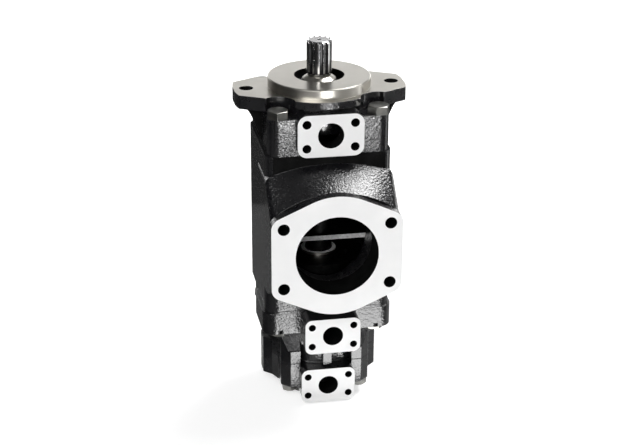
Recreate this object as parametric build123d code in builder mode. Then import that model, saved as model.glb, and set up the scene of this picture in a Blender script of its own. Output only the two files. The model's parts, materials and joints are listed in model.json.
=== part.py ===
from build123d import *
from math import cos, radians, sin, tan
import os

# A triple hydraulic vane pump: three pumping cartridges on one shaft, in four iron castings.
# Origin on the shaft axis at the mounting face. +Z runs out along the shaft, the ports face -Y.
# Lengths are millimetres. Depths are measured down from the mounting face.

# Mounting end
pilot_dia = 127.0
pilot_height = 12.7
pilot_chamfer = 1.2
lip_radius = 72.5
lip_thickness = 9.0
neck_radius = 64.0
ear_beyond_bolt = 16.0
ear_thickness = 17.0
ear_corner_beyond_bolt = 7.5
ear_corner_y = 20.5
ear_corner_radius = 8.0
ear_root_x = 45.0
mount_bolt_spacing = 181.0
mount_hole_dia = 17.5
gusset_width = 44.0
gusset_depth = 62.0
gusset_beyond_bolt = 7.5
gusset_knee_inset = 3.0
gusset_knee_depth = 28.5
nut_seat_radius = 15.0
bolt_access_radius = 22.0

# Casting stack, as depths of the joints between castings
cap_depth = 66.0
suction_housing_length = 208.5
centre_housing_length = 78.9
end_cap_length = 33.6
end_boss_length = 18.0
suction_joint = cap_depth
centre_joint = suction_joint + suction_housing_length
end_joint = centre_joint + centre_housing_length
end_cap_bottom = end_joint + end_cap_length
rest_depth = end_cap_bottom + end_boss_length

# Mounting cap casting
cap_width = 149.0
cap_thickness = 143.6
cap_corner = 13.0
screw_seat_depth = 19.0

# Suction housing casting
housing_width = 155.0
housing_thickness = 144.0
housing_corner = 14.0
port_below_middle = 5.75
hood_top_margin = 11.0
hood_bottom_margin = 14.5
hood_start = 10.0
hood_shoulder_y = 72.0
hood_pad_y = 112.0
hood_cheek_half = 79.0
hood_corner_drop = 15.0
hood_corner = 10.0
hood_pad_step = 1.5
hood_pad_shoulder = 9.0
skirt_rise = 40.0
skirt_front_y = 71.5
skirt_corner = 15.0
chamber_wall_gap = 3.0
channel_half_width = 22.0
channel_reach = 64.8
web_above_plate = 22.0
web_thickness = 6.0
web_front_y = 25.0
web_hole_gap = 3.5

# Centre housing casting
centre_flange_thickness = 28.5
centre_flange_front_half = 82.0
centre_flange_back_half = 73.5
centre_flange_half_y = 71.5
centre_flange_step_y = 12.0
centre_flange_corner = 16.0
column_slope_length = 38.0
column_slope_y = 42.0
ear_height = 17.4
fairing_half = 30.0
fairing_above_joint = 7.4
rib_half = 5.5
rib_front_y = 68.0
rib_root_sink = 4.0
spot_face_depth = 5.5
spot_face_radius = 14.5
spot_face_access = 8.0

# Shared outline of the lower flange and the end cap
core_radius = 57.0
side_ear_x = 74.0
side_ear_flat = 10.0
side_shoulder_x = 64.0
side_shoulder_y = 19.5
side_neck_x = 58.4
side_neck_y = 32.5
column_inner_x = 33.0
column_outer_x = 57.0
column_inner_y = 33.0
column_outer_y = 59.0
column_corner_cut = 11.0
end_boss_radius = 50.0

# Ports: centre depth, face distance from the axis, bore, bolt rectangle and tapped hole
suction_port_depth = (suction_joint + centre_joint) / 2 + port_below_middle
suction_port_face = 125.6
suction_bore_dia = 101.6
suction_bore_length = 40.0
suction_core_dia = 112.0
suction_bolts_x = 130.18
suction_bolts_z = 77.77
suction_tap_dia = 14.7
suction_tap_depth = 32.0
suction_pad_radius = 77.0
suction_pad_corner = 15.0

front_port_above_joint = 27.0
front_port_depth = cap_depth - front_port_above_joint
front_port_face = 80.0
front_bore_dia = 31.75
front_bolts_x = 58.72
front_bolts_z = 30.18
front_tap_dia = 10.8
front_tap_depth = 20.0
front_pad_half_x = 40.5
front_pad_half_z = 26.5
front_pad_corner = 12.0
front_pad_sink = 26.0

middle_port_below_joint = 20.1
middle_port_depth = centre_joint + middle_port_below_joint
middle_port_face = 103.1
middle_pad_half_x = 34.8
middle_pad_half_z = 23.3
middle_pad_corner = 8.5
middle_pad_stand_off = 74.0

rear_port_above_rest = 26.2
rear_port_depth = rest_depth - rear_port_above_rest
rear_port_face = 75.4
rear_pad_half_x = 34.5
rear_pad_half_z = 23.3
rear_pad_corner = 9.0

outlet_bore_dia = 25.4
outlet_bolts_x = 52.37
outlet_bolts_z = 26.19
outlet_tap_dia = 9.0
outlet_tap_depth = 20.0
front_bore_length = 30.0
outlet_bore_end_y = 38.0

# Fasteners
cap_screw_at = 61.5
cap_screw_dia = 16.0
cap_screw_head_flats = 24.0
cap_screw_head_height = 10.0
cap_screw_grip = 40.0
centre_screw_x = 61.5
centre_screw_y = 57.0
end_screw_at = 45.5
end_screw_dia = 12.0
end_screw_head_flats = 18.0
end_screw_head_height = 8.0
end_screw_grip = 22.0
screw_clearance = 0.15
head_chamfer_angle = 60.0
head_face_share = 0.96
cap_screw_turns = (19.0, 49.0, 7.0, 34.0)
centre_screw_turns = (49.0, 12.0, 49.0, 26.0)
end_screw_turns = (30.0, 22.0, 41.0, 8.0)

# Shaft
shaft_end = 57.0
spline_start = 16.0
spline_teeth = 14
spline_tip_dia = 31.2
spline_root_dia = 26.6
spline_tooth_tip = 2.4
spline_tooth_root = 4.6
spline_chamfer_width = 3.0
spline_chamfer_drop = 2.3
spline_tooth_sink = 1.0
relief_radius = 14.3
relief_depth_z = 12.5
collar_radius = 21.0
collar_top = 9.0
collar_cone_radius = 15.4
shoulder_step = 2.5
shoulder_start = 12.0
centre_hole_dia = 5.0
centre_hole_depth = 9.0
journal_radius = 14.0
tail_above_rest = 19.0
tail_chamfer = 1.0

# Shaft seal, its ring and the front bearing
seal_outer_dia = 62.0
seal_width = 8.0
seal_top = 0.5
seal_wall = 1.6
seal_lip_gap = 0.3
seal_lip_width = 3.0
seal_lip_top_width = 2.0
seal_lip_bevel = 1.0
ring_thickness = 1.6
ring_radial = 4.0
ring_groove = 1.8
ring_side_gap = 0.1
ring_rim_gap = 0.2
ring_eye_radius = 2.8
ring_eye_hole = 1.2
ring_eye_inset = 3.6
ring_eye_offset = 2.0
seal_ring_opening = 9.0
bearing_ring_opening = 12.0
seal_bore_depth = 9.0
throat_gap = 1.5
bearing_top = 20.0
bearing_width = 18.0
bearing_outer_dia = 80.0
bearing_bore_dia = 40.0
ball_count = 9
ball_dia = 12.0
race_groove_gap = 0.2
race_land_gap = 3.2
race_chamfer = 1.0
cage_half = 1.7
cage_width = 16.0
bearing_fit = 0.03
hub_wall = 6.0
hub_above_plate = 10.0
gallery_radius = 58.0
gallery_top = 30.0

# Bushes behind the bearing
bush_wall = 4.0
bush_gap = 0.05
centre_bush_inset = 6.0
centre_bush_end_gap = 8.0
end_bush_inset = 2.0
end_bush_length = 20.0
tail_pocket = 4.0

# Cartridges, front, middle and rear: each value once per cartridge
vane_count = 10
vane_thickness = 2.0
slot_side_gap = 0.1
vane_end_gap = 0.1
vane_foot_gap = 0.15
vane_sink = 0.25
vane_tip_gap = 0.35
plate_fit = 0.1
rotor_face_gap = 0.05
rotor_radial_gap = 0.5
drive_tooth_height = 1.9
drive_tooth_width = 3.2
drive_teeth = 12
drive_gap = 0.08
shaft_hole_gap = 0.5
dowel_dia = 6.0
dowel_gap = 0.05
dowel_bury = 9.0
dowel_outset = 1.5
kidney_arc = 48.0
kidney_width = 7.0
kidney_angle = 45.0
slot_root_share = 1.6
cam_point_step = 15
plate_hub_width = 5.0

front_plate_rise = 6.0
front_plate_thickness = 18.0
front_ring_width = 38.0
front_outer_radius = 61.0
front_rotor_radius = 39.7
front_lift = 5.0
front_slot_floor = 25.0
front_shaft_radius = 19.0
front_plate_hub = 3.0

middle_plate_below_joint = 5.5
middle_plate_thickness = 16.0
middle_ring_width = 28.0
middle_outer_radius = 55.0
middle_rotor_radius = 33.4
middle_lift = 4.1
middle_slot_floor = 21.5
middle_shaft_radius = 17.0
middle_plate_hub = 3.0
middle_bore_radius = 58.0

rear_plate_below_joint = 8.6
rear_plate_thickness = 12.0
rear_ring_width = 22.0
rear_outer_radius = 48.0
rear_rotor_radius = 27.7
rear_lift = 3.3
rear_slot_floor = 18.5
rear_shaft_radius = 15.0
rear_plate_hub = 0.0
rear_bore_radius = 50.0
rear_window_rise = 23.4
rear_window_height = 12.0

# Pressure galleries behind the middle and rear cartridges
middle_gallery_radius = 45.0
middle_gallery_floor = 4.0
middle_hub_radius = 30.0
middle_hub_recess = 3.0
rear_gallery_radius = 44.0
rear_gallery_above_rest = 13.0
rear_hub_radius = 31.0

# Square-cut seal rings between the castings
seal_ring_width = 3.0
seal_ring_depth = 2.5
seal_ring_gap = 0.1
cap_seal_radius = 67.6
centre_seal_half = 68.2
centre_seal_corner = 56.0
end_seal_radius = 53.2

# Sizes that follow from the ones above
ear_reach = mount_bolt_spacing / 2 + ear_beyond_bolt
ear_corner_x = mount_bolt_spacing / 2 + ear_corner_beyond_bolt
gusset_reach = mount_bolt_spacing / 2 + gusset_beyond_bolt
gusset_knee_x = mount_bolt_spacing / 2 - gusset_knee_inset

shoulder_radius = bearing_bore_dia / 2 + shoulder_step
cap_throat_radius = shoulder_radius + throat_gap
bearing_bottom = bearing_top + bearing_width
bearing_middle = bearing_top + bearing_width / 2
ball_pitch_radius = (bearing_outer_dia + bearing_bore_dia) / 4
hub_radius = bearing_outer_dia / 2 + hub_wall
seal_bottom = seal_top + seal_width
seal_ring_top = seal_top - ring_thickness - ring_side_gap
shaft_tail = rest_depth - tail_above_rest

front_plate_top = cap_depth - front_plate_rise
front_ring_top = front_plate_top + front_plate_thickness
front_ring_bottom = front_ring_top + front_ring_width
hub_depth = front_plate_top - hub_above_plate
chamber_radius = front_outer_radius + chamber_wall_gap

middle_plate_bottom = centre_joint + middle_plate_below_joint
middle_ring_bottom = middle_plate_bottom - middle_plate_thickness
middle_ring_top = middle_ring_bottom - middle_ring_width
middle_cartridge_top = middle_ring_top - middle_plate_thickness
web_bottom = middle_cartridge_top - web_above_plate
web_top = web_bottom - web_thickness

rear_plate_bottom = end_joint + rear_plate_below_joint
rear_ring_bottom = rear_plate_bottom - rear_plate_thickness
rear_ring_top = rear_ring_bottom - rear_ring_width
rear_cartridge_top = rear_ring_top - rear_plate_thickness
rear_window_top = end_joint - rear_window_rise
rear_window_bottom = rear_window_top + rear_window_height

middle_gallery_bottom = rear_cartridge_top - middle_gallery_floor
rear_gallery_bottom = rest_depth - rear_gallery_above_rest
centre_bush_top = middle_plate_bottom + centre_bush_inset
centre_bush_bottom = rear_cartridge_top - centre_bush_end_gap
end_bush_top = rear_plate_bottom + end_bush_inset

flange_bottom = centre_joint + centre_flange_thickness
column_slope_depth = flange_bottom + column_slope_length
ear_top_depth = end_joint - ear_height
fairing_bottom = end_joint - fairing_above_joint
hood_top_rise = suction_port_depth - suction_joint - hood_top_margin
hood_bottom_drop = centre_joint - hood_bottom_margin - suction_port_depth

os.makedirs("parts", exist_ok=True)


def finish(piece, name):
    """Label a finished piece and write it."""
    piece.label = name
    export_step(piece, f"parts/{name}.step")


def level(depth):
    """The plane across the shaft at a depth below the mounting face."""
    return Plane.XY.offset(-depth)


def port_plane(distance, depth):
    """A plane at a distance in front of the axis, facing the port side, centred at a depth."""
    return Plane(origin=(0, -distance, -depth), x_dir=(1, 0, 0), z_dir=(0, -1, 0))


def cam_radius(angle, rotor_radius, lift):
    """Inner radius of a two-lobed cam ring, smallest at 0 and 180 degrees."""
    return rotor_radius + rotor_radial_gap + lift * (1 - cos(2 * radians(angle))) / 2


def spline_teeth_profile(root, tip, teeth, root_width, tip_width):
    """A toothed disc, sketched on the current plane."""
    Circle(root)
    with PolarLocations(0, teeth):
        Polygon(
            (root - spline_tooth_sink, -root_width / 2),
            (tip, -tip_width / 2),
            (tip, tip_width / 2),
            (root - spline_tooth_sink, root_width / 2),
            align=None,
        )


def drive_profile(radius, gap):
    """The spline that turns a rotor. The rotor's bore is the same shape with a gap."""
    width = drive_tooth_width + 2 * gap
    spline_teeth_profile(radius - drive_tooth_height + gap, radius + gap, drive_teeth, width, width)


def tapped_holes(face, depth, bolts_x, bolts_z, dia, length):
    """Four tapped holes in a port pad, at the thread's pitch diameter."""
    with BuildSketch(port_plane(face, depth)) as holes:
        with GridLocations(bolts_x, bolts_z, 2, 2):
            Circle(dia / 2)
    extrude(holes.sketch, amount=-length, mode=Mode.SUBTRACT)


def port_bore(face, depth, dia, reach):
    """A round port from its pad in towards the shaft."""
    with BuildSketch(port_plane(face, depth)) as bore:
        Circle(dia / 2)
    extrude(bore.sketch, amount=-reach, mode=Mode.SUBTRACT)


def port_block(face, depth, half_x, half_z, corner, length):
    """A rounded block that carries a port pad."""
    with BuildSketch(port_plane(face, depth)) as pad:
        RectangleRounded(2 * half_x, 2 * half_z, corner)
    extrude(pad.sketch, amount=-length)


def annulus(outer, inner, top, bottom, mode):
    """A ring between two depths."""
    with BuildSketch(level(top)) as ring:
        Circle(outer)
        Circle(inner, mode=Mode.SUBTRACT)
    extrude(ring.sketch, amount=top - bottom, mode=mode)


def disc(radius, top, bottom, mode=Mode.ADD):
    """A disc between two depths."""
    with BuildSketch(level(top)) as circle:
        Circle(radius)
    extrude(circle.sketch, amount=top - bottom, mode=mode)


def hex_screws(seat, direction, at_x, at_y, dia, flats, head, length, turns):
    """Four hexagon screws on a rectangle, each head at the angle where it came tight.

    direction is +1 where the heads point up the shaft.
    """
    with BuildSketch(level(seat)) as heads:
        for place, turn in zip(GridLocations(2 * at_x, 2 * at_y, 2, 2), turns):
            with Locations(place):
                RegularPolygon(flats / 2, 6, major_radius=False, rotation=turn)
    extrude(heads.sketch, amount=direction * head)
    face_radius = head_face_share * flats / 2
    with BuildSketch(level(seat)) as cones:
        with GridLocations(2 * at_x, 2 * at_y, 2, 2):
            Circle(face_radius + head * tan(radians(head_chamfer_angle)))
    extrude(
        cones.sketch, amount=direction * head, taper=head_chamfer_angle, mode=Mode.INTERSECT
    )
    screw_holes(seat, at_x, at_y, dia / 2, -direction * length, Mode.ADD)


def screw_holes(depth, at_x, at_y, radius, length, mode=Mode.SUBTRACT):
    """Four round holes, or shanks, on a rectangle. A positive length runs up the shaft."""
    with BuildSketch(level(depth)) as rounds:
        with GridLocations(2 * at_x, 2 * at_y, 2, 2):
            Circle(radius)
    extrude(rounds.sketch, amount=length, mode=mode)


def lower_outline():
    """The cross-shaped outline that the lower flange and the end cap share."""
    Circle(core_radius)
    with BuildLine() as ear:
        Polyline(
            (0, 0),
            (side_ear_x, 0),
            (side_ear_x, side_ear_flat),
            (side_shoulder_x, side_shoulder_y),
            (side_neck_x, side_neck_y),
            (0, side_neck_y),
            close=True,
        )
    make_face(ear.edges())
    mirror(about=Plane.YZ)
    mirror(about=Plane.XZ)
    column_outline()


def column_outline():
    """The four corner columns that take the rear cover's screws."""
    with BuildLine() as column:
        Polyline(
            (column_inner_x, column_inner_y),
            (column_outer_x, column_inner_y),
            (column_outer_x, column_outer_y - column_corner_cut),
            (column_outer_x - column_corner_cut, column_outer_y),
            (column_inner_x, column_outer_y),
            close=True,
        )
    make_face(column.edges())
    mirror(about=Plane.YZ)
    mirror(about=Plane.XZ)


def hood_section(half_x, rise, drop, shoulder, corner):
    """An arched window shape: straight cheeks under a bowed top and bottom."""
    with BuildLine() as window:
        top = ThreePointArc((-half_x, rise - shoulder), (0, rise), (half_x, rise - shoulder))
        Line(top @ 1, (half_x, shoulder - drop))
        bottom = ThreePointArc((half_x, shoulder - drop), (0, -drop), (-half_x, shoulder - drop))
        Line(bottom @ 1, top @ 0)
    make_face(window.edges())
    fillet(vertices(), corner)


def suction_pad_outline():
    """The wide port's pad: a disc and four corners, drawn tight together."""
    Circle(suction_pad_radius)
    with GridLocations(suction_bolts_x, suction_bolts_z, 2, 2):
        Circle(suction_pad_corner)
    make_hull()


# The front casting: pilot, two-bolt flange, bearing hub and the front outlet
with BuildPart() as mounting_cap:
    with BuildSketch(Plane.XY):
        Circle(pilot_dia / 2)
    extrude(amount=pilot_height)
    chamfer(edges().group_by(Axis.Z)[-1], pilot_chamfer)
    with BuildSketch(Plane.XY):
        Circle(lip_radius)
        with GridLocations(2 * ear_corner_x, 2 * ear_corner_y, 2, 2):
            Circle(ear_corner_radius)
        make_hull()
        Circle(ear_reach, mode=Mode.INTERSECT)
        Rectangle(2 * ear_root_x, 2 * ear_reach, mode=Mode.SUBTRACT)
    extrude(amount=-ear_thickness)
    with BuildSketch(Plane.XZ.offset(-gusset_width / 2)):
        with BuildLine():
            Line((0, -ear_thickness), (gusset_reach, -ear_thickness))
            Spline(
                (gusset_reach, -ear_thickness),
                (gusset_knee_x, -gusset_knee_depth),
                (cap_width / 2, -gusset_depth),
                tangents=((-1, -0.3), (-0.3, -1)),
            )
            Line((cap_width / 2, -gusset_depth), (0, -gusset_depth))
            Line((0, -gusset_depth), (0, -ear_thickness))
        make_face()
        mirror(about=Plane.YZ)
    extrude(amount=gusset_width)
    disc(lip_radius, 0, lip_thickness)
    disc(neck_radius, lip_thickness, screw_seat_depth)
    with BuildSketch(level(ear_thickness)):
        with GridLocations(mount_bolt_spacing, 1, 2, 1):
            Circle(nut_seat_radius)
    extrude(amount=ear_thickness - gusset_depth, mode=Mode.SUBTRACT)
    screw_holes(0, cap_screw_at, cap_screw_at, bolt_access_radius, -screw_seat_depth)
    with BuildSketch(level(screw_seat_depth)):
        RectangleRounded(cap_width, cap_thickness, cap_corner)
    extrude(amount=screw_seat_depth - cap_depth)
    port_block(
        front_port_face,
        front_port_depth,
        front_pad_half_x,
        front_pad_half_z,
        front_pad_corner,
        front_pad_sink,
    )
    disc(seal_outer_dia / 2, -pilot_height, seal_bore_depth, Mode.SUBTRACT)
    disc(
        seal_outer_dia / 2 + ring_groove,
        seal_ring_top - ring_side_gap,
        seal_ring_top + ring_thickness + ring_side_gap,
        Mode.SUBTRACT,
    )
    disc(cap_throat_radius, 0, cap_depth, Mode.SUBTRACT)
    disc(bearing_outer_dia / 2, bearing_top, cap_depth, Mode.SUBTRACT)
    disc(
        bearing_outer_dia / 2 + ring_groove,
        bearing_bottom,
        bearing_bottom + ring_thickness + 2 * ring_side_gap,
        Mode.SUBTRACT,
    )
    annulus(gallery_radius, hub_radius, gallery_top, cap_depth, Mode.SUBTRACT)
    disc(gallery_radius, hub_depth, cap_depth, Mode.SUBTRACT)
    disc(front_outer_radius + plate_fit, front_plate_top, cap_depth, Mode.SUBTRACT)
    port_bore(front_port_face, front_port_depth, front_bore_dia, front_bore_length)
    tapped_holes(
        front_port_face,
        front_port_depth,
        front_bolts_x,
        front_bolts_z,
        front_tap_dia,
        front_tap_depth,
    )
    with BuildSketch(Plane.XY):
        with GridLocations(mount_bolt_spacing, 1, 2, 1):
            Circle(mount_hole_dia / 2)
    extrude(amount=-gusset_depth, mode=Mode.SUBTRACT)
    screw_hole_radius = cap_screw_dia / 2 + screw_clearance
    screw_holes(0, cap_screw_at, cap_screw_at, screw_hole_radius, -cap_depth)
finish(mounting_cap.part, "mounting_cap")

# The main casting: the suction hood and the bores of the front and middle cartridges
with BuildPart() as suction_housing:
    with BuildSketch(level(suction_joint)):
        RectangleRounded(housing_width, housing_thickness, housing_corner)
    extrude(amount=-suction_housing_length)
    cheeks = (hood_cheek_half, hood_top_rise, hood_bottom_drop, hood_corner_drop, hood_corner)
    with BuildSketch(port_plane(hood_start, suction_port_depth)):
        hood_section(*cheeks)
    extrude(amount=hood_shoulder_y - hood_start)
    with BuildSketch(port_plane(hood_shoulder_y, suction_port_depth)):
        hood_section(*cheeks)
    with BuildSketch(port_plane(hood_pad_y, suction_port_depth)):
        hood_section(
            suction_bolts_x / 2 + suction_pad_corner - hood_pad_step,
            suction_pad_radius - hood_pad_step,
            suction_pad_radius - hood_pad_step,
            suction_pad_radius - suction_bolts_z / 2 - hood_pad_shoulder,
            suction_pad_corner,
        )
    loft(ruled=True)
    with BuildSketch(port_plane(hood_pad_y, suction_port_depth)):
        suction_pad_outline()
    extrude(amount=suction_port_face - hood_pad_y)
    with BuildSketch(level(centre_joint)):
        with Locations((0, -(skirt_front_y + hood_start) / 2)):
            Rectangle(2 * hood_cheek_half, skirt_front_y - hood_start)
        fillet(vertices().group_by(Axis.Y)[0], skirt_corner)
    extrude(amount=skirt_rise)
    disc(chamber_radius, suction_joint, web_top, Mode.SUBTRACT)
    disc(chamber_radius, web_bottom, middle_cartridge_top, Mode.SUBTRACT)
    disc(middle_bore_radius, middle_cartridge_top, centre_joint, Mode.SUBTRACT)
    disc(front_shaft_radius + web_hole_gap, web_top, web_bottom, Mode.SUBTRACT)
    with BuildSketch(level(web_top)):
        Circle(chamber_radius)
        with Locations((0, chamber_radius - web_front_y)):
            Rectangle(2 * chamber_radius, 2 * chamber_radius, mode=Mode.SUBTRACT)
    extrude(amount=-web_thickness, mode=Mode.SUBTRACT)
    with BuildSketch(level(web_bottom)):
        with Locations((0, channel_reach / 2)):
            Rectangle(2 * channel_half_width, channel_reach)
    extrude(amount=web_bottom - centre_joint, mode=Mode.SUBTRACT)
    port_bore(suction_port_face, suction_port_depth, suction_bore_dia, suction_bore_length)
    core_start = suction_port_face - suction_bore_length
    port_bore(core_start, suction_port_depth, suction_core_dia, core_start - web_front_y)
    tapped_holes(
        suction_port_face,
        suction_port_depth,
        suction_bolts_x,
        suction_bolts_z,
        suction_tap_dia,
        suction_tap_depth,
    )
    hole_length = cap_screw_grip + screw_clearance
    screw_holes(suction_joint, cap_screw_at, cap_screw_at, screw_hole_radius, -hole_length)
    screw_holes(centre_joint, centre_screw_x, centre_screw_y, screw_hole_radius, hole_length)
    annulus(
        cap_seal_radius + seal_ring_width / 2 + seal_ring_gap,
        cap_seal_radius - seal_ring_width / 2 - seal_ring_gap,
        suction_joint,
        suction_joint + seal_ring_depth + seal_ring_gap,
        Mode.SUBTRACT,
    )
    with BuildSketch(level(centre_joint)):
        groove = seal_ring_width / 2 + seal_ring_gap
        outer_side = 2 * (centre_seal_half + groove)
        inner_side = 2 * (centre_seal_half - groove)
        RectangleRounded(outer_side, outer_side, centre_seal_corner + groove)
        RectangleRounded(
            inner_side, inner_side, centre_seal_corner - groove, mode=Mode.SUBTRACT
        )
    extrude(amount=seal_ring_depth + seal_ring_gap, mode=Mode.SUBTRACT)
finish(suction_housing.part, "suction_housing")

# The middle casting: its upper flange, the middle outlet and the seat of the rear cartridge
with BuildPart() as centre_housing:
    with BuildSketch(level(centre_joint)):
        RectangleRounded(
            2 * centre_flange_back_half, 2 * centre_flange_half_y, centre_flange_corner
        )
        with Locations((0, (centre_flange_step_y - centre_flange_half_y) / 2)):
            RectangleRounded(
                2 * centre_flange_front_half,
                centre_flange_half_y + centre_flange_step_y,
                centre_flange_corner,
            )
    extrude(amount=-centre_flange_thickness)
    with BuildSketch(level(flange_bottom)):
        column_outline()
    extrude(amount=flange_bottom - end_joint)
    with BuildSketch(Plane.YZ.offset(-column_outer_x)):
        with BuildLine():
            Polyline(
                (column_outer_y, -column_slope_depth),
                (column_slope_y, -flange_bottom),
                (column_outer_y, -flange_bottom),
                close=True,
            )
        make_face()
        mirror(about=Plane.YZ)
    extrude(amount=2 * column_outer_x, mode=Mode.SUBTRACT)
    with BuildSketch(level(ear_top_depth)):
        lower_outline()
    extrude(amount=ear_top_depth - end_joint)
    disc(core_radius, centre_joint, end_joint)
    with BuildSketch(level(flange_bottom)):
        with Locations((0, centre_flange_half_y / 2)):
            Rectangle(2 * fairing_half, centre_flange_half_y)
    extrude(amount=flange_bottom - fairing_bottom)
    with BuildSketch(port_plane(rib_front_y, (middle_port_depth + end_joint) / 2)):
        Rectangle(2 * rib_half, end_joint - middle_port_depth)
    extrude(amount=core_radius - rib_front_y - rib_root_sink)
    port_block(
        middle_port_face,
        middle_port_depth,
        middle_pad_half_x,
        middle_pad_half_z,
        middle_pad_corner,
        middle_port_face - middle_pad_stand_off,
    )
    block_bottom = middle_port_depth + middle_pad_half_z
    with BuildSketch(port_plane(middle_pad_stand_off, (centre_joint + block_bottom) / 2)):
        Rectangle(2 * middle_pad_half_x, block_bottom - centre_joint)
    extrude(amount=-middle_pad_stand_off + middle_gallery_radius)
    disc(middle_outer_radius + plate_fit, centre_joint, middle_plate_bottom, Mode.SUBTRACT)
    annulus(
        middle_gallery_radius,
        middle_hub_radius,
        middle_plate_bottom,
        middle_gallery_bottom,
        Mode.SUBTRACT,
    )
    disc(
        middle_hub_radius,
        middle_plate_bottom,
        middle_plate_bottom + middle_hub_recess,
        Mode.SUBTRACT,
    )
    disc(rear_shaft_radius + shaft_hole_gap, middle_plate_bottom, end_joint, Mode.SUBTRACT)
    bush_seat_radius = rear_shaft_radius + bush_gap + bush_wall
    disc(bush_seat_radius, middle_plate_bottom, centre_bush_bottom, Mode.SUBTRACT)
    disc(rear_bore_radius, rear_cartridge_top, end_joint, Mode.SUBTRACT)
    with BuildSketch(level(centre_joint)):
        with Locations((0, (channel_reach + middle_outer_radius) / 2)):
            Rectangle(2 * channel_half_width, channel_reach - middle_outer_radius)
    extrude(amount=centre_joint - rear_window_bottom, mode=Mode.SUBTRACT)
    with BuildSketch(level(rear_window_top)):
        with Locations((0, channel_reach / 2)):
            Rectangle(2 * channel_half_width, channel_reach)
    extrude(amount=rear_window_top - rear_window_bottom, mode=Mode.SUBTRACT)
    port_bore(
        middle_port_face,
        middle_port_depth,
        outlet_bore_dia,
        middle_port_face - outlet_bore_end_y,
    )
    tapped_holes(
        middle_port_face,
        middle_port_depth,
        outlet_bolts_x,
        outlet_bolts_z,
        outlet_tap_dia,
        outlet_tap_depth,
    )
    screw_seat = flange_bottom - spot_face_depth
    screw_holes(
        centre_joint,
        centre_screw_x,
        centre_screw_y,
        screw_hole_radius,
        -centre_flange_thickness,
    )
    screw_holes(
        screw_seat,
        centre_screw_x,
        centre_screw_y,
        spot_face_radius,
        -spot_face_depth - spot_face_access,
    )
    end_hole_radius = end_screw_dia / 2 + screw_clearance
    hole_length = end_screw_grip + screw_clearance
    screw_holes(end_joint, end_screw_at, end_screw_at, end_hole_radius, hole_length)
    annulus(
        end_seal_radius + seal_ring_width / 2 + seal_ring_gap,
        end_seal_radius - seal_ring_width / 2 - seal_ring_gap,
        end_joint - seal_ring_depth - seal_ring_gap,
        end_joint,
        Mode.SUBTRACT,
    )
finish(centre_housing.part, "centre_housing")

# The rear casting: a cover with the rear outlet, the rear bush and the face that it stands on
with BuildPart() as end_cap:
    with BuildSketch(level(end_joint)):
        lower_outline()
    extrude(amount=-end_cap_length)
    disc(end_boss_radius, end_cap_bottom, rest_depth)
    port_block(
        rear_port_face,
        rear_port_depth,
        rear_pad_half_x,
        rear_pad_half_z,
        rear_pad_corner,
        rear_port_face - rear_gallery_radius,
    )
    disc(rear_outer_radius + plate_fit, end_joint, rear_plate_bottom, Mode.SUBTRACT)
    annulus(
        rear_gallery_radius,
        rear_hub_radius,
        rear_plate_bottom,
        rear_gallery_bottom,
        Mode.SUBTRACT,
    )
    disc(
        journal_radius + bush_gap + bush_wall,
        rear_plate_bottom,
        shaft_tail + tail_pocket,
        Mode.SUBTRACT,
    )
    port_bore(
        rear_port_face,
        rear_port_depth,
        outlet_bore_dia,
        rear_port_face - outlet_bore_end_y,
    )
    tapped_holes(
        rear_port_face,
        rear_port_depth,
        outlet_bolts_x,
        outlet_bolts_z,
        outlet_tap_dia,
        outlet_tap_depth,
    )
    screw_holes(end_joint, end_screw_at, end_screw_at, end_hole_radius, -end_cap_length)
finish(end_cap.part, "end_cap")

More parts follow.
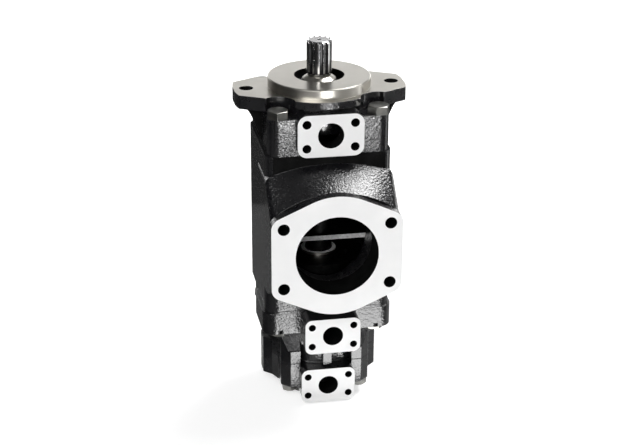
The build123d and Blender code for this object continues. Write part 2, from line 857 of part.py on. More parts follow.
# The shaft: splined drive end, sealing collar, bearing seat and a spline for each rotor
drives = (
    (front_ring_top, front_ring_width, front_shaft_radius),
    (middle_ring_top, middle_ring_width, middle_shaft_radius),
    (rear_ring_top, rear_ring_width, rear_shaft_radius),
)
with BuildPart() as drive_shaft:
    bearing_seat = bearing_bore_dia / 2 - bearing_fit
    with BuildSketch(Plane.XZ):
        with BuildLine():
            Polyline(
                (0, spline_start),
                (relief_radius, spline_start),
                (relief_radius, relief_depth_z),
                (collar_cone_radius, relief_depth_z),
                (collar_radius, collar_top),
                (collar_radius, -shoulder_start),
                (shoulder_radius, -shoulder_start),
                (shoulder_radius, -bearing_top),
                (bearing_seat, -bearing_top),
                (bearing_seat, -bearing_bottom),
                (front_shaft_radius, -bearing_bottom),
                (front_shaft_radius, -front_ring_top),
                (front_shaft_radius - drive_tooth_height, -front_ring_top),
                (front_shaft_radius - drive_tooth_height, -front_ring_bottom),
                (middle_shaft_radius, -front_ring_bottom),
                (middle_shaft_radius, -middle_ring_top),
                (middle_shaft_radius - drive_tooth_height, -middle_ring_top),
                (middle_shaft_radius - drive_tooth_height, -middle_ring_bottom),
                (rear_shaft_radius, -middle_ring_bottom),
                (rear_shaft_radius, -rear_ring_top),
                (rear_shaft_radius - drive_tooth_height, -rear_ring_top),
                (rear_shaft_radius - drive_tooth_height, -rear_ring_bottom),
                (journal_radius, -rear_ring_bottom),
                (journal_radius, -shaft_tail),
                (0, -shaft_tail),
                close=True,
            )
        make_face()
    revolve(axis=Axis.Z)
    chamfer(edges().group_by(Axis.Z)[0], tail_chamfer)
    for top, width, radius in drives:
        with BuildSketch(level(top)):
            drive_profile(radius, 0)
        extrude(amount=-width)
    with BuildSketch(Plane.XY.offset(spline_start)):
        spline_teeth_profile(
            spline_root_dia / 2,
            spline_tip_dia / 2,
            spline_teeth,
            spline_tooth_root,
            spline_tooth_tip,
        )
    extrude(amount=shaft_end - spline_start)
    with BuildSketch(Plane.XZ):
        with BuildLine():
            Polyline(
                (spline_tip_dia / 2 - spline_chamfer_width, shaft_end),
                (spline_tip_dia / 2, shaft_end),
                (spline_tip_dia / 2, shaft_end - spline_chamfer_drop),
                close=True,
            )
        make_face()
    revolve(axis=Axis.Z, mode=Mode.SUBTRACT)
    with BuildSketch(Plane.XY.offset(shaft_end)):
        Circle(centre_hole_dia / 2)
    extrude(amount=-centre_hole_depth, mode=Mode.SUBTRACT)
finish(drive_shaft.part, "drive_shaft")


def retaining_ring(radius, top, opening):
    """An internal retaining ring: an open ring with two eyes at its gap."""
    rim = radius + ring_groove - ring_rim_gap
    annulus(rim, rim - ring_radial, top, top + ring_thickness, Mode.ADD)
    with BuildSketch(level(top)) as gap:
        with Locations((0, rim)):
            Rectangle(opening, 2 * rim)
    extrude(gap.sketch, amount=-ring_thickness, mode=Mode.SUBTRACT)
    eye_x = opening / 2 + ring_eye_offset
    with BuildSketch(level(top)) as eyes:
        with Locations((eye_x, radius - ring_eye_inset), (-eye_x, radius - ring_eye_inset)):
            Circle(ring_eye_radius)
            Circle(ring_eye_hole, mode=Mode.SUBTRACT)
    extrude(eyes.sketch, amount=-ring_thickness)


# What sits in the mouth of the cap
with BuildPart() as seal_ring:
    retaining_ring(seal_outer_dia / 2, seal_ring_top, seal_ring_opening)
finish(seal_ring.part, "seal_retaining_ring")

with BuildPart() as shaft_seal:
    outer = seal_outer_dia / 2 - bearing_fit
    inner = collar_radius + seal_lip_gap
    with BuildSketch(Plane.XZ):
        with BuildLine():
            Polyline(
                (outer, -seal_top),
                (outer, -seal_bottom),
                (inner + seal_lip_width, -seal_bottom),
                (inner + seal_lip_width, seal_wall - seal_bottom),
                (outer - seal_wall, seal_wall - seal_bottom),
                (outer - seal_wall, -seal_top - seal_wall),
                (inner + seal_lip_top_width, -seal_top - seal_wall),
                (inner, -seal_top - seal_lip_width),
                (inner, -seal_top - seal_lip_top_width),
                (inner + seal_lip_bevel, -seal_top),
                close=True,
            )
        make_face()
    revolve(axis=Axis.Z)
finish(shaft_seal.part, "shaft_seal")

with BuildPart() as bearing_ring:
    retaining_ring(bearing_outer_dia / 2, bearing_bottom + ring_side_gap, bearing_ring_opening)
finish(bearing_ring.part, "bearing_retaining_ring")


def race(inner, outer):
    """One race of the ball bearing, with its groove."""
    annulus(outer, inner, bearing_top, bearing_bottom, Mode.ADD)
    with BuildSketch(Plane.XZ) as groove:
        with Locations((ball_pitch_radius, -bearing_middle)):
            Circle(ball_dia / 2 + race_groove_gap)
    revolve(groove.sketch, axis=Axis.Z, mode=Mode.SUBTRACT)


with BuildPart() as outer_race:
    race(ball_pitch_radius + race_land_gap, bearing_outer_dia / 2 - bearing_fit)
    chamfer(edges().filter_by(GeomType.CIRCLE).group_by(SortBy.RADIUS)[-1], race_chamfer)
finish(outer_race.part, "bearing_outer_race")

with BuildPart() as inner_race:
    race(bearing_bore_dia / 2 + bearing_fit, ball_pitch_radius - race_land_gap)
finish(inner_race.part, "bearing_inner_race")

with BuildPart() as balls:
    with Locations(level(bearing_middle)):
        with PolarLocations(ball_pitch_radius, ball_count):
            Sphere(ball_dia / 2)
finish(balls.part, "bearing_balls")

with BuildPart() as cage:
    cage_top = bearing_middle - cage_width / 2
    annulus(
        ball_pitch_radius + cage_half,
        ball_pitch_radius - cage_half,
        cage_top,
        cage_top + cage_width,
        Mode.ADD,
    )
    with Locations(level(bearing_middle)):
        with PolarLocations(ball_pitch_radius, ball_count):
            Cylinder(
                ball_dia / 2 + race_groove_gap,
                ball_dia,
                rotation=(0, 90, 0),
                mode=Mode.SUBTRACT,
            )
finish(cage.part, "bearing_cage")

with BuildPart() as bushes:
    annulus(
        rear_shaft_radius + bush_gap + bush_wall,
        rear_shaft_radius + bush_gap,
        centre_bush_top,
        centre_bush_bottom,
        Mode.ADD,
    )
    annulus(
        journal_radius + bush_gap + bush_wall,
        journal_radius + bush_gap,
        end_bush_top,
        end_bush_top + end_bush_length,
        Mode.ADD,
    )
finish(bushes.part, "shaft_bushes")


def kidneys(start_angle, radius):
    """A pair of kidney ports, half a turn apart."""
    for angle in (start_angle, start_angle + 180):
        arc = Edge.make_circle(
            radius, start_angle=angle - kidney_arc / 2, end_angle=angle + kidney_arc / 2
        )
        SlotArc(arc, kidney_width, mode=Mode.SUBTRACT)


def side_plate(top, thickness, outer, rotor, lift, hole, angle):
    """A flat plate that closes one side of a cartridge, with its ports and dowel holes."""
    with BuildSketch(level(top)) as plate:
        Circle(outer)
        Circle(hole, mode=Mode.SUBTRACT)
        kidneys(angle, rotor + lift / 2)
        with PolarLocations(dowel_radius(outer, rotor), 2):
            Circle(dowel_dia / 2 + dowel_gap, mode=Mode.SUBTRACT)
    extrude(plate.sketch, amount=-thickness)


def dowel_radius(outer, rotor):
    """Where the dowels pass through the thick part of the cam ring."""
    return (outer + rotor) / 2 + dowel_outset


def cam_ring(top, width, outer, rotor, lift):
    """The ring that the vanes run against."""
    with BuildSketch(level(top)) as ring:
        Circle(outer)
        with BuildLine() as bore:
            points = []
            for angle in range(0, 360, cam_point_step):
                reach = cam_radius(angle, rotor, lift)
                points.append((reach * cos(radians(angle)), reach * sin(radians(angle))))
            Spline(*points, periodic=True)
        make_face(bore.edges(), mode=Mode.SUBTRACT)
        with PolarLocations(dowel_radius(outer, rotor), 2):
            Circle(dowel_dia / 2 + dowel_gap, mode=Mode.SUBTRACT)
    extrude(ring.sketch, amount=-width)


def rotor_body(top, width, rotor, slot_floor, shaft):
    """A rotor with a slot for each vane and the shaft's spline in its bore."""
    with BuildSketch(level(top + rotor_face_gap)) as blank:
        Circle(rotor)
        half_slot = vane_thickness / 2 + slot_side_gap
        slot_mouth = rotor + half_slot
        with PolarLocations((slot_mouth + slot_floor) / 2, vane_count):
            Rectangle(slot_mouth - slot_floor, 2 * half_slot, mode=Mode.SUBTRACT)
        with PolarLocations(slot_floor, vane_count):
            Circle(slot_root_share * half_slot, mode=Mode.SUBTRACT)
    extrude(blank.sketch, amount=-(width - 2 * rotor_face_gap))
    with BuildSketch(level(top)) as bore:
        drive_profile(shaft, drive_gap)
    extrude(bore.sketch, amount=-width, mode=Mode.SUBTRACT)


def vane(top, width, rotor, slot_floor, index):
    """One vane, resting on the floor of its slot."""
    inner = slot_floor + vane_foot_gap
    outer = rotor - vane_sink
    with BuildSketch(level(top + vane_end_gap)) as blade:
        with Locations(Rotation(0, 0, index * 360 / vane_count)):
            with Locations(((inner + outer) / 2, 0)):
                Rectangle(outer - inner, vane_thickness)
    extrude(blade.sketch, amount=-(width - 2 * vane_end_gap))


cartridges = (
    (
        "front",
        front_plate_top,
        front_plate_thickness,
        front_ring_width,
        front_outer_radius,
        front_rotor_radius,
        front_lift,
        front_slot_floor,
        front_shaft_radius,
        front_plate_hub,
        kidney_angle,
    ),
    (
        "middle",
        middle_cartridge_top,
        middle_plate_thickness,
        middle_ring_width,
        middle_outer_radius,
        middle_rotor_radius,
        middle_lift,
        middle_slot_floor,
        middle_shaft_radius,
        middle_plate_hub,
        180 - kidney_angle,
    ),
    (
        "rear",
        rear_cartridge_top,
        rear_plate_thickness,
        rear_ring_width,
        rear_outer_radius,
        rear_rotor_radius,
        rear_lift,
        rear_slot_floor,
        rear_shaft_radius,
        rear_plate_hub,
        180 - kidney_angle,
    ),
)

for name, top, plate, width, outer, rotor, lift, slot_floor, shaft, hub, kidney in cartridges:
    ring_top = top + plate
    ring_bottom = ring_top + width
    hole = shaft + shaft_hole_gap
    with BuildPart() as upper_plate:
        side_plate(top, plate, outer, rotor, lift, hole, kidney)
        if hub > 0:
            annulus(hole + plate_hub_width, hole, top - hub, top, Mode.ADD)
    finish(upper_plate.part, f"{name}_upper_plate")
    with BuildPart() as ring:
        cam_ring(ring_top, width, outer, rotor, lift)
    finish(ring.part, f"{name}_cam_ring")
    with BuildPart() as rotor_piece:
        rotor_body(ring_top, width, rotor, slot_floor, shaft)
    finish(rotor_piece.part, f"{name}_rotor")
    with BuildPart() as lower_plate:
        side_plate(ring_bottom, plate, outer, rotor, lift, hole, 180 - kidney)
    finish(lower_plate.part, f"{name}_lower_plate")
    for index in range(vane_count):
        with BuildPart() as blade:
            vane(ring_top, width, rotor, slot_floor, index)
        finish(blade.part, f"{name}_vane_{index + 1}")

with BuildPart() as dowels:
    for name, top, plate, width, outer, rotor, *rest in cartridges:
        with BuildSketch(level(top + plate - dowel_bury)) as pins:
            with PolarLocations(dowel_radius(outer, rotor), 2):
                Circle(dowel_dia / 2)
        extrude(pins.sketch, amount=-(width + 2 * dowel_bury))
finish(dowels.part, "cartridge_dowels")

# Screws and seal rings
with BuildPart() as cap_screws:
    hex_screws(
        screw_seat_depth,
        1,
        cap_screw_at,
        cap_screw_at,
        cap_screw_dia,
        cap_screw_head_flats,
        cap_screw_head_height,
        cap_depth - screw_seat_depth + cap_screw_grip,
        cap_screw_turns,
    )
finish(cap_screws.part, "cap_screws")

with BuildPart() as centre_screws:
    hex_screws(
        screw_seat,
        -1,
        centre_screw_x,
        centre_screw_y,
        cap_screw_dia,
        cap_screw_head_flats,
        cap_screw_head_height,
        screw_seat - centre_joint + cap_screw_grip,
        centre_screw_turns,
    )
finish(centre_screws.part, "centre_screws")

with BuildPart() as end_screws:
    hex_screws(
        end_cap_bottom,
        -1,
        end_screw_at,
        end_screw_at,
        end_screw_dia,
        end_screw_head_flats,
        end_screw_head_height,
        end_cap_length + end_screw_grip,
        end_screw_turns,
    )
finish(end_screws.part, "end_screws")

with BuildPart() as seal_rings:
    annulus(
        cap_seal_radius + seal_ring_width / 2,
        cap_seal_radius - seal_ring_width / 2,
        suction_joint,
        suction_joint + seal_ring_depth,
        Mode.ADD,
    )
    with BuildSketch(level(centre_joint)):
        outer_side = 2 * centre_seal_half + seal_ring_width
        inner_side = 2 * centre_seal_half - seal_ring_width
        RectangleRounded(outer_side, outer_side, centre_seal_corner + seal_ring_width / 2)
        RectangleRounded(
            inner_side,
            inner_side,
            centre_seal_corner - seal_ring_width / 2,
            mode=Mode.SUBTRACT,
        )
    extrude(amount=seal_ring_depth)
    annulus(
        end_seal_radius + seal_ring_width / 2,
        end_seal_radius - seal_ring_width / 2,
        end_joint - seal_ring_depth,
        end_joint,
        Mode.ADD,
    )
finish(seal_rings.part, "casing_seal_rings")
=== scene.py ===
import json
import math

import bpy
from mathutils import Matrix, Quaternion, Vector


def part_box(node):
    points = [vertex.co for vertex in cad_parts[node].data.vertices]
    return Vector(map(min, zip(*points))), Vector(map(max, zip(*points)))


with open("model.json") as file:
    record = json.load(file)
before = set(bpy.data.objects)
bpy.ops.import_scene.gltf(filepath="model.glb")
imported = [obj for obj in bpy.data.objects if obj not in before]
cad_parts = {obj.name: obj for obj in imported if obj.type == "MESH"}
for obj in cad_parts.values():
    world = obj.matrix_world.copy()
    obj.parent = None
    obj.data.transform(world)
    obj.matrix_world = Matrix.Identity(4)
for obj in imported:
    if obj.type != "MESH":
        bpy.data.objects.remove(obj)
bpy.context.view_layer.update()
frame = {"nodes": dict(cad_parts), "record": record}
nodes = frame["nodes"]

# The photograph and the camera fitted to it
PHOTO_WIDTH = 640
FOCAL_PIXELS = 1515.0
SENSOR_MM = 36.0
CAMERA_AZIMUTH = math.radians(-10.76)
CAMERA_ELEVATION = math.radians(22.99)
CAMERA_ROLL = math.radians(0.35)
CAMERA_DISTANCE = 1.933
TARGET_RIGHT = 0.0022
TARGET_Z = -0.1844
CLIP_START, CLIP_END = 0.05, 50

# Places on the object, in metres
CASTINGS = ("mounting_cap", "suction_housing", "centre_housing", "end_cap")
PORT_FACE = {name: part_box(name)[0].y for name in CASTINGS}
PILOT_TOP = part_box("mounting_cap")[1].z
SUCTION_BOTTOM, SUCTION_TOP = (corner.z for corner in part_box("suction_housing"))
SEAMS = tuple(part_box(name)[1].z for name in CASTINGS[1:])
SEAM_WIDTH = 0.0009
SEAL_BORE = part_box("seal_retaining_ring")[1].x
SEAL_DEPTH = 0.0095
CHAMBER = 0.0655
WEB_HALF = CHAMBER / 2
HUB_HEIGHT = 0.003
PLATE_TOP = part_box("middle_upper_plate")[1].z - HUB_HEIGHT
SHAFT_COLLAR_TOP = 0.0165
SHAFT_INNER_TOP = -0.02
TOOTH_TIP = 0.0152
WALL_FRONT = -0.072
WALL_MARGIN = 0.001
HOOD_TOP = -0.12
HOOD_MIDDLE = -0.15
GUSSET_INNER = 0.067
PORT_DEPTH = 0.07
BORE_MOUNT_DEPTH = 0.004
HOLE_MARGIN = 1.02
NEAR = 0.0002

# How much of a face's normal lies along an axis
SQUARE = 0.99
FACING = 0.9
TILTED = 0.2
LEVEL = 0.5
SHARP_EDGE = math.radians(28)

# The studio, in metres, and how far its whites are lifted
FLOOR_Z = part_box("end_cap")[0].z
FLOOR_SIZE = 24
FLOOR_LIFT = 0.55
WALL_RADIUS = FLOOR_SIZE / 2 - 0.2
WALL_HEIGHT = 3
WALL_VERTICES = 128
WALL_LIFT = 0.9
CARD_RISE = 0.002
STRIP_RISE = 0.01


class Nodes:
    """A small helper that builds one material's node tree."""

    def __init__(self, name):
        self.material = bpy.data.materials.new(name)
        self.material.use_nodes = True
        self.tree = self.material.node_tree
        self.surface = self.tree.nodes["Principled BSDF"]
        self.coords = self.add("ShaderNodeTexCoord").outputs["Object"]

    def add(self, kind, **settings):
        node = self.tree.nodes.new(kind)
        for key, value in settings.items():
            setattr(node, key, value)
        return node

    def link(self, source, target):
        self.tree.links.new(source, target)

    def feed(self, socket, source):
        self.link(source, self.surface.inputs[socket])

    def set(self, **values):
        for key, value in values.items():
            self.surface.inputs[key.replace("_", " ")].default_value = value

    def noise(self, scale, detail=2.0, roughness=0.5, coords=None):
        node = self.add("ShaderNodeTexNoise")
        node.inputs["Scale"].default_value = scale
        node.inputs["Detail"].default_value = detail
        node.inputs["Roughness"].default_value = roughness
        self.link(coords or self.coords, node.inputs["Vector"])
        return node.outputs["Fac"]

    def math(self, operation, first, second=None):
        node = self.add("ShaderNodeMath", operation=operation)
        for socket, value in zip(node.inputs, (first, second)):
            if isinstance(value, (int, float)):
                socket.default_value = value
            elif value is not None:
                self.link(value, socket)
        return node.outputs["Value"]

    def ramp(self, source, dark, light, start=0.3, end=0.8):
        """Turns a noise into a drift between two tones, each a grey or a colour."""
        node = self.add("ShaderNodeValToRGB")
        stops = ((start, dark), (end, light))
        for element, (position, tone) in zip(node.color_ramp.elements, stops):
            element.position = position
            if isinstance(tone, (int, float)):
                tone = (tone, tone, tone)
            element.color = (*tone, 1.0)
        self.link(source, node.inputs["Fac"])
        return node.outputs["Color"]

    def bump(self, height, strength, distance, normal=None):
        node = self.add("ShaderNodeBump")
        node.inputs["Strength"].default_value = strength
        node.inputs["Distance"].default_value = distance
        self.link(height, node.inputs["Height"])
        if normal is not None:
            self.link(normal, node.inputs["Normal"])
        return node.outputs["Normal"]

    def bevel(self, radius):
        node = self.add("ShaderNodeBevel", samples=6)
        node.inputs["Radius"].default_value = radius
        return node.outputs["Normal"]

    def stretched(self, scale):
        node = self.add("ShaderNodeMapping")
        node.inputs["Scale"].default_value = scale
        self.link(self.coords, node.inputs["Vector"])
        return node.outputs["Vector"]

    def height(self):
        node = self.add("ShaderNodeSeparateXYZ")
        self.link(self.coords, node.inputs["Vector"])
        return node.outputs["Z"]


def seam_groove(m):
    """One away from the joints between castings, falling to nothing at each joint."""
    z = m.height()
    groove = None
    for seam in SEAMS:
        away = m.math("ABSOLUTE", m.math("SUBTRACT", z, seam))
        wall = m.math("MINIMUM", m.math("DIVIDE", away, SEAM_WIDTH), 1.0)
        groove = wall if groove is None else m.math("MULTIPLY", groove, wall)
    return groove


def cast_paint(name, grain):
    """Gloss black enamel over sand-cast iron, whose grain shows by the given strength."""
    m = Nodes(name)
    pebbles = m.ramp(m.noise(440, detail=1.0), 0.0, 1.0, start=0.34, end=0.66)
    swell = m.noise(60)
    groove = seam_groove(m)
    soft = m.bump(swell, strength=0.2, distance=0.001, normal=m.bevel(0.0014))
    rough = m.bump(pebbles, strength=grain, distance=0.00028, normal=soft)
    m.feed("Normal", rough)
    m.feed("Coat Normal", rough)
    mottle = m.noise(40, detail=3.0)
    m.feed("Base Color", m.ramp(mottle, (0.004, 0.004, 0.005), (0.01, 0.01, 0.011)))
    gloss = m.ramp(m.noise(180), 0.25, 0.4)
    m.feed("Roughness", m.math("MAXIMUM", gloss, m.math("SUBTRACT", 1.0, groove)))
    m.feed("Coat Weight", groove)
    m.set(Specular_IOR_Level=0.25, Coat_Roughness=0.1, Coat_IOR=1.6)
    return m.material


def bare_edge_highlight():
    """An unpainted cast edge, rough, pale partly from the bare iron and partly as a painted
    highlight.
    """
    m = Nodes("bare_edge_highlight")
    grain = m.noise(520, detail=3.0, roughness=0.6)
    m.feed("Normal", m.bump(grain, strength=0.7, distance=0.0009))
    m.feed("Base Color", m.ramp(m.noise(300, detail=3.0), 0.75, 1.0, start=0.35, end=0.65))
    m.set(Roughness=0.45)
    return m.material


def machined_face():
    """A port pad, ground flat and left bright."""
    m = Nodes("machined_face")
    marks = m.noise(900, coords=m.stretched((1.0, 0.05, 0.05)))
    m.feed("Normal", m.bump(marks, strength=0.1, distance=0.0003, normal=m.bevel(0.0004)))
    m.feed("Base Color", m.ramp(m.noise(25), 0.86, (0.92, 0.92, 0.915)))
    m.set(Roughness=0.55, Specular_IOR_Level=0.3)
    return m.material


def ground_flange():
    """The pilot and the mounting face, turned and slightly warm."""
    m = Nodes("ground_flange")
    rings = m.noise(260)
    m.feed("Normal", m.bump(rings, strength=0.08, distance=0.0003, normal=m.bevel(0.0006)))
    mottle = m.noise(30, detail=3.0)
    m.feed("Base Color", m.ramp(mottle, (0.52, 0.5, 0.455), (0.6, 0.58, 0.53)))
    m.set(Metallic=1.0, Roughness=0.28)
    return m.material


def shade_black_casting():
    """Black enamel made dull, with almost no reflection: painted shade on the passages and on the
    faces tucked behind others.
    """
    m = Nodes("shade_black_casting")
    m.feed("Normal", m.bump(m.noise(300), strength=0.3, distance=0.0006))
    m.feed("Base Color", m.ramp(m.noise(60), 0.003, 0.008))
    m.set(Roughness=0.6, Specular_IOR_Level=0.04)
    return m.material


def steel(name, dark, light, roughness):
    """Bare steel with fine marks along the shaft."""
    m = Nodes(name)
    marks = m.noise(400, coords=m.stretched((1.0, 1.0, 0.08)))
    m.feed("Normal", m.bump(marks, strength=0.1, distance=0.0002, normal=m.bevel(0.0004)))
    m.feed("Base Color", m.ramp(m.noise(90, detail=3.0), dark, light))
    m.set(Metallic=1.0, Roughness=roughness)
    return m.material


def rubber():
    """Matt black rubber."""
    m = Nodes("rubber")
    m.feed("Normal", m.bump(m.noise(700), strength=0.2, distance=0.0002))
    m.feed("Base Color", m.ramp(m.noise(80), 0.012, 0.025))
    m.set(Roughness=0.6)
    return m.material


def bronze():
    """Lapped bronze."""
    m = Nodes("bronze")
    m.feed("Normal", m.bump(m.noise(500), strength=0.1, distance=0.0002))
    mottle = m.noise(60, detail=3.0)
    m.feed("Base Color", m.ramp(mottle, (0.28, 0.17, 0.07), (0.42, 0.27, 0.12)))
    m.set(Metallic=1.0, Roughness=0.32)
    return m.material


rough_paint = cast_paint("rough_paint", grain=0.7)
smooth_paint = cast_paint("smooth_paint", grain=0.06)
pad = machined_face()
flange = ground_flange()
shade_black = shade_black_casting()
bare_highlight = bare_edge_highlight()
shaft_steel = steel("shaft_steel", 0.52, 0.7, roughness=0.16)
screw_steel = steel("screw_steel", (0.2, 0.2, 0.19), (0.34, 0.335, 0.31), roughness=0.3)
# Steel darkened almost to black for the parts inside the housings: painted shade.
shade_steel = steel("shade_steel", 0.01, 0.03, roughness=0.4)
# Darker steel for the shaft's flutes: painted shade between the crests.
flute_shade_steel = steel("flute_shade_steel", 0.03, 0.07, roughness=0.3)
black_rubber = rubber()
bronze_face = bronze()


def assign(name, *materials, finish=None):
    """Give a node its materials, smooth but for its real edges, and pick one for each face."""
    mesh = nodes[name].data
    mesh.materials.clear()
    for material in materials:
        mesh.materials.append(material)
    mesh.shade_smooth()
    mesh.set_sharp_from_angle(angle=SHARP_EDGE)
    if finish is not None:
        for face in mesh.polygons:
            face.material_index = finish(face)


def port_holes(name):
    """Centre and radius of every hole in a casting's port pad, from the record's mounts."""
    holes = []
    for mount in frame["record"]["mounts"]:
        x, y, z = mount["pos_m"]
        behind_pad = y - PORT_FACE[name]
        dims = mount["dims"]
        if mount["kind"] == "bore" and abs(behind_pad - BORE_MOUNT_DEPTH) < NEAR:
            holes.append((x, z, dims["r_mm"] / 1000))
        if mount["kind"] == "bolt_pattern" and abs(behind_pad) < NEAR:
            half_x = dims["spacing_x_mm"] / 2000
            half_z = dims["spacing_y_mm"] / 2000
            radius = dims["hole_r_mm"] / 1000
            for side in (-1, 1):
                for end in (-1, 1):
                    holes.append((x + side * half_x, z + end * half_z, radius))
    return holes


def is_hole_wall(face, holes):
    """True for a wall of one of the round holes that run in from a port pad."""
    c, n = face.center, face.normal
    for x, z, radius in holes:
        dx, dz = c.x - x, c.z - z
        if math.hypot(dx, dz) < radius * HOLE_MARGIN and dx * n.x + dz * n.z <= 0:
            return True
    return False


def is_rough(name, face):
    """True on the cast fronts and the hood. Elsewhere thicker enamel fills the grain."""
    c, n = face.center, face.normal
    if name == "suction_housing":
        on_hood = n.z > TILTED and c.y < 0
        on_block = n.y < -FACING and c.z < HOOD_MIDDLE
        return on_hood or on_block
    if name == "mounting_cap":
        return n.y < -SQUARE and abs(c.y - WALL_FRONT) < WALL_MARGIN
    return n.y < -FACING


def is_tucked(name, face):
    """True on front faces in the shade of others: the gussets and the wall above the hood."""
    c = face.center
    if face.normal.y > -FACING:
        return False
    if name == "mounting_cap":
        return abs(c.x) > GUSSET_INNER
    return name == "suction_housing" and c.z > HOOD_TOP


# The order of a casting's materials
ROUGH, PAD, FLANGE, SHADE_BLACK, BARE_HIGHLIGHT, RECESS_SHADE, SMOOTH = range(7)


def casting_finish(name, face, holes):
    """Which finish a face of a casting has, from where it lies."""
    c, n = face.center, face.normal
    front = PORT_FACE[name]
    if n.y < -SQUARE and abs(c.y - front) < NEAR:
        return PAD
    # Hole walls behind the pad get the dull black, painted shade.
    if c.y < front + PORT_DEPTH and is_hole_wall(face, holes):
        return SHADE_BLACK
    radius = math.hypot(c.x, c.y)
    if name == "mounting_cap":
        # The seal recess wall gets the darkened steel, painted shade.
        if radius < SEAL_BORE + NEAR and -SEAL_DEPTH < c.z < PILOT_TOP - NEAR:
            return RECESS_SHADE
        if c.z > -NEAR:
            return FLANGE
    # Inner faces turned towards the axis get the dull black, painted shade.
    faces_axis = c.x * n.x + c.y * n.y < -NEAR
    if faces_axis and radius < CHAMBER and c.z < -SEAL_DEPTH:
        return SHADE_BLACK
    in_chamber = radius < CHAMBER and SUCTION_BOTTOM < c.z < SUCTION_TOP - NEAR
    # In the chamber the web's front face takes the pale edge, a painted highlight.
    if name == "suction_housing" and in_chamber:
        return BARE_HIGHLIGHT if n.y < -SQUARE and abs(c.x) < WEB_HALF else SHADE_BLACK
    # Front faces in the shade of others get the dull black, painted shade.
    if is_tucked(name, face):
        return SHADE_BLACK
    return ROUGH if is_rough(name, face) else SMOOTH


# The order of the shaft's materials
CREST, COLLAR, INSIDE_SHADE, FLUTE_SHADE = range(4)


def shaft_finish(face):
    """Bright crests and end, flutes in darker steel as painted shade, a ground collar and darkened
    steel inside the housings as painted shade.
    """
    c = face.center
    if c.z < SHAFT_INNER_TOP:
        return INSIDE_SHADE
    if c.z < SHAFT_COLLAR_TOP:
        return COLLAR
    in_flute = abs(face.normal.z) < TILTED and math.hypot(c.x, c.y) < TOOTH_TIP
    return FLUTE_SHADE if in_flute and c.z > SHAFT_COLLAR_TOP + NEAR else CREST


# The order of the middle cartridge's upper plate's materials
PLATE_SHADE, HUB_TOP_HIGHLIGHT, HUB_WALL = range(3)


def hub_finish(face):
    """A plate darkened as painted shade, with a hub whose top is near white as a painted
    highlight, which shows through the suction port.
    """
    if face.center.z <= PLATE_TOP + NEAR:
        return PLATE_SHADE
    return HUB_TOP_HIGHLIGHT if face.normal.z > LEVEL else HUB_WALL


def plain_finish(name):
    """The material of a node that is the same all over."""
    if name == "seal_retaining_ring":
        return shaft_steel
    if name in ("shaft_seal", "casing_seal_rings"):
        return black_rubber
    if name == "shaft_bushes":
        return bronze_face
    # The inner plates, rings and cage take the darkened steel, painted shade.
    if name.endswith(("_plate", "retaining_ring")) or name == "bearing_cage":
        return shade_steel
    return screw_steel


def finish_casting(name):
    """Give a casting its materials, the port pad's holes among them."""
    holes = port_holes(name)
    materials = (rough_paint, pad, flange, shade_black, bare_highlight, shade_steel, smooth_paint)
    assign(name, *materials, finish=lambda face: casting_finish(name, face, holes))


for node in nodes:
    if node in CASTINGS:
        finish_casting(node)
    elif node == "drive_shaft":
        assign(node, shaft_steel, flange, shade_steel, flute_shade_steel, finish=shaft_finish)
    elif node == "middle_upper_plate":
        assign(node, shade_steel, pad, flange, finish=hub_finish)
    else:
        assign(node, plain_finish(node))


def pale_finish(name, lift):
    """A matt white lifted to full white where it is seen."""
    m = Nodes(name)
    m.feed("Base Color", m.ramp(m.noise(3), 0.93, 0.95))
    seen = m.add("ShaderNodeLightPath").outputs
    either = m.math("MAXIMUM", seen["Is Camera Ray"], seen["Is Glossy Ray"])
    either = m.math("MAXIMUM", either, seen["Is Transmission Ray"])
    m.feed("Emission Strength", m.math("MULTIPLY", either, lift))
    m.set(Roughness=0.7, Specular_IOR_Level=0.2, Emission_Color=(1, 1, 1, 1))
    return m.material


def floor():
    """A plain pale floor, far larger than the object."""
    bpy.ops.mesh.primitive_plane_add(size=FLOOR_SIZE, location=(0, 0, FLOOR_Z))
    plane = bpy.context.object
    plane.name = "floor"
    plane.data.materials.append(pale_finish("floor_finish", FLOOR_LIFT))


def backdrop():
    """A low white wall round the edge of the floor, which gives the object no light."""
    bpy.ops.mesh.primitive_cylinder_add(
        vertices=WALL_VERTICES,
        radius=WALL_RADIUS,
        depth=WALL_HEIGHT,
        end_fill_type="NOTHING",
        location=(0, 0, FLOOR_Z + WALL_HEIGHT / 2),
    )
    wall = bpy.context.object
    wall.name = "backdrop"
    wall.data.materials.append(pale_finish("backdrop_finish", WALL_LIFT))
    wall.visible_shadow = False
    wall.visible_diffuse = False


def place(thing, location, aim):
    """Put a lamp or a card somewhere, with its -Z side towards a point."""
    thing.location = location
    thing.rotation_mode = "QUATERNION"
    thing.rotation_quaternion = (Vector(aim) - thing.location).to_track_quat("-Z", "Y")


def add_light(kind, name, location, aim, power):
    """A lamp of the given kind, pointed at a place."""
    data = bpy.data.lights.new(name, kind)
    data.energy = power
    light = bpy.data.objects.new(name, data)
    place(light, location, aim)
    bpy.context.scene.collection.objects.link(light)
    return light


def area_light(name, location, aim, size, power):
    """A rectangular lamp that the camera doesn't see."""
    light = add_light("AREA", name, location, aim, power)
    light.data.shape = "RECTANGLE"
    light.data.size, light.data.size_y = size
    light.visible_camera = False
    return light


def gloss_light(name, centre, size, radiance):
    """A strip on the floor in front that shows in reflections alone, of a set brightness."""
    x, y = centre
    z = FLOOR_Z + STRIP_RISE
    power = math.pi * size[0] * size[1] * radiance
    light = area_light(name, (x, y, z), (x, y, z + 1), size, power)
    light.visible_diffuse = False


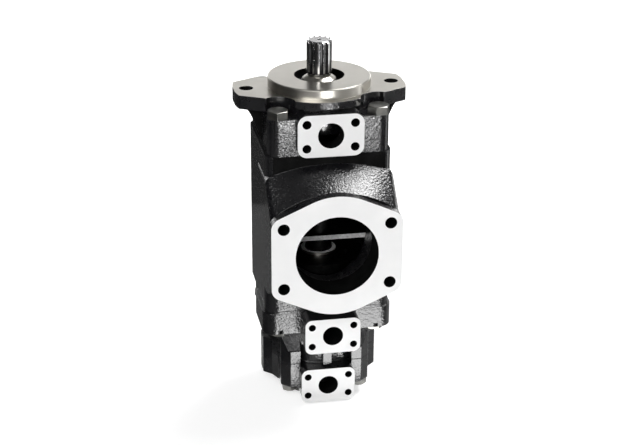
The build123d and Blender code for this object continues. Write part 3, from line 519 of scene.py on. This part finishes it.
def sun(name, azimuth, elevation, spread, strength):
    """A large soft source far away. Azimuth runs from straight behind the object to its right."""
    a, e = math.radians(azimuth), math.radians(elevation)
    direction = (math.sin(a) * math.cos(e), math.cos(a) * math.cos(e), math.sin(e))
    light = add_light("SUN", name, direction, (0, 0, 0), strength)
    light.data.angle = math.radians(spread)
    return light


def card(name, location, aim, size, tone):
    """A dark studio card that only reflections see."""
    m = Nodes(name)
    m.feed("Base Color", m.ramp(m.noise(5), tone * 0.95, tone * 1.05))
    m.set(Roughness=0.9, Specular_IOR_Level=0.1)
    bpy.ops.mesh.primitive_plane_add(size=1, location=location)
    plane = bpy.context.object
    plane.name = name
    plane.scale = (*size, 1)
    place(plane, location, aim)
    plane.data.materials.append(m.material)
    plane.visible_camera = False
    plane.visible_shadow = False
    plane.visible_diffuse = False
    plane.visible_transmission = False


def floor_card(name, low, high, tone):
    """A card lying on the floor between two corners."""
    x, y = (low[0] + high[0]) / 2, (low[1] + high[1]) / 2
    z = FLOOR_Z + CARD_RISE
    card(name, (x, y, z), (x, y, z - 1), (high[0] - low[0], high[1] - low[1]), tone)


def camera():
    """The camera fitted to the photograph."""
    data = bpy.data.cameras.new("camera")
    data.sensor_width = SENSOR_MM
    data.lens = FOCAL_PIXELS / PHOTO_WIDTH * SENSOR_MM
    data.clip_start, data.clip_end = CLIP_START, CLIP_END
    cam = bpy.data.objects.new("camera", data)
    a, e = CAMERA_AZIMUTH, CAMERA_ELEVATION
    back = Vector((math.sin(a) * math.cos(e), -math.cos(a) * math.cos(e), math.sin(e)))
    right = Vector((math.cos(a), math.sin(a), 0))
    target = right * TARGET_RIGHT + Vector((0, 0, TARGET_Z))
    cam.location = target + back * CAMERA_DISTANCE
    cam.rotation_mode = "QUATERNION"
    cam.rotation_quaternion = Quaternion(back, CAMERA_ROLL) @ (-back).to_track_quat("-Z", "Y")
    bpy.context.scene.collection.objects.link(cam)
    bpy.context.scene.camera = cam


def studio_world(strength):
    """An even white light from all round."""
    world = bpy.data.worlds.new("studio")
    bpy.context.scene.world = world
    world.use_nodes = True
    background = world.node_tree.nodes["Background"]
    background.inputs["Color"].default_value = (1, 1, 1, 1)
    background.inputs["Strength"].default_value = strength


floor()
backdrop()
camera()
gloss_light("front_far", centre=(0.16, -1.28), size=(0.38, 0.5), radiance=19)
gloss_light("front_near", centre=(0.07, -0.26), size=(0.24, 0.34), radiance=7)
area_light("back_wash", (0.25, 1.9, 0.55), aim=(0, 0, -0.1), size=(1.5, 0.9), power=2.4)
sun("right_rear", azimuth=61, elevation=57, spread=32, strength=2.0)
sun("hood_gloss", azimuth=61, elevation=59, spread=36, strength=1.3).visible_diffuse = False
sun("front", azimuth=212, elevation=30, spread=50, strength=2.0)
card("card_left", (-1.0, 0.1, 0.2), aim=(0, 0.1, 0.2), size=(2.2, 1.2), tone=0.01)
floor_card("card_floor_rear", low=(-1.4, 0.6), high=(1.4, 2.0), tone=0.02)
floor_card("card_floor_near", low=(-1.4, 0.12), high=(1.4, 0.6), tone=0.08)
floor_card("card_floor_front", low=(-1.4, -2.0), high=(1.4, -0.12), tone=0.08)
floor_card("card_floor_left", low=(-1.4, -0.12), high=(-0.14, 0.12), tone=0.03)
floor_card("card_foot_left", low=(-0.14, -0.12), high=(-0.075, 0.12), tone=0.3)
floor_card("card_foot_right", low=(0.075, -0.12), high=(0.6, 0.12), tone=0.35)
studio_world(0.1)

bpy.context.scene.view_settings.view_transform = "Standard"
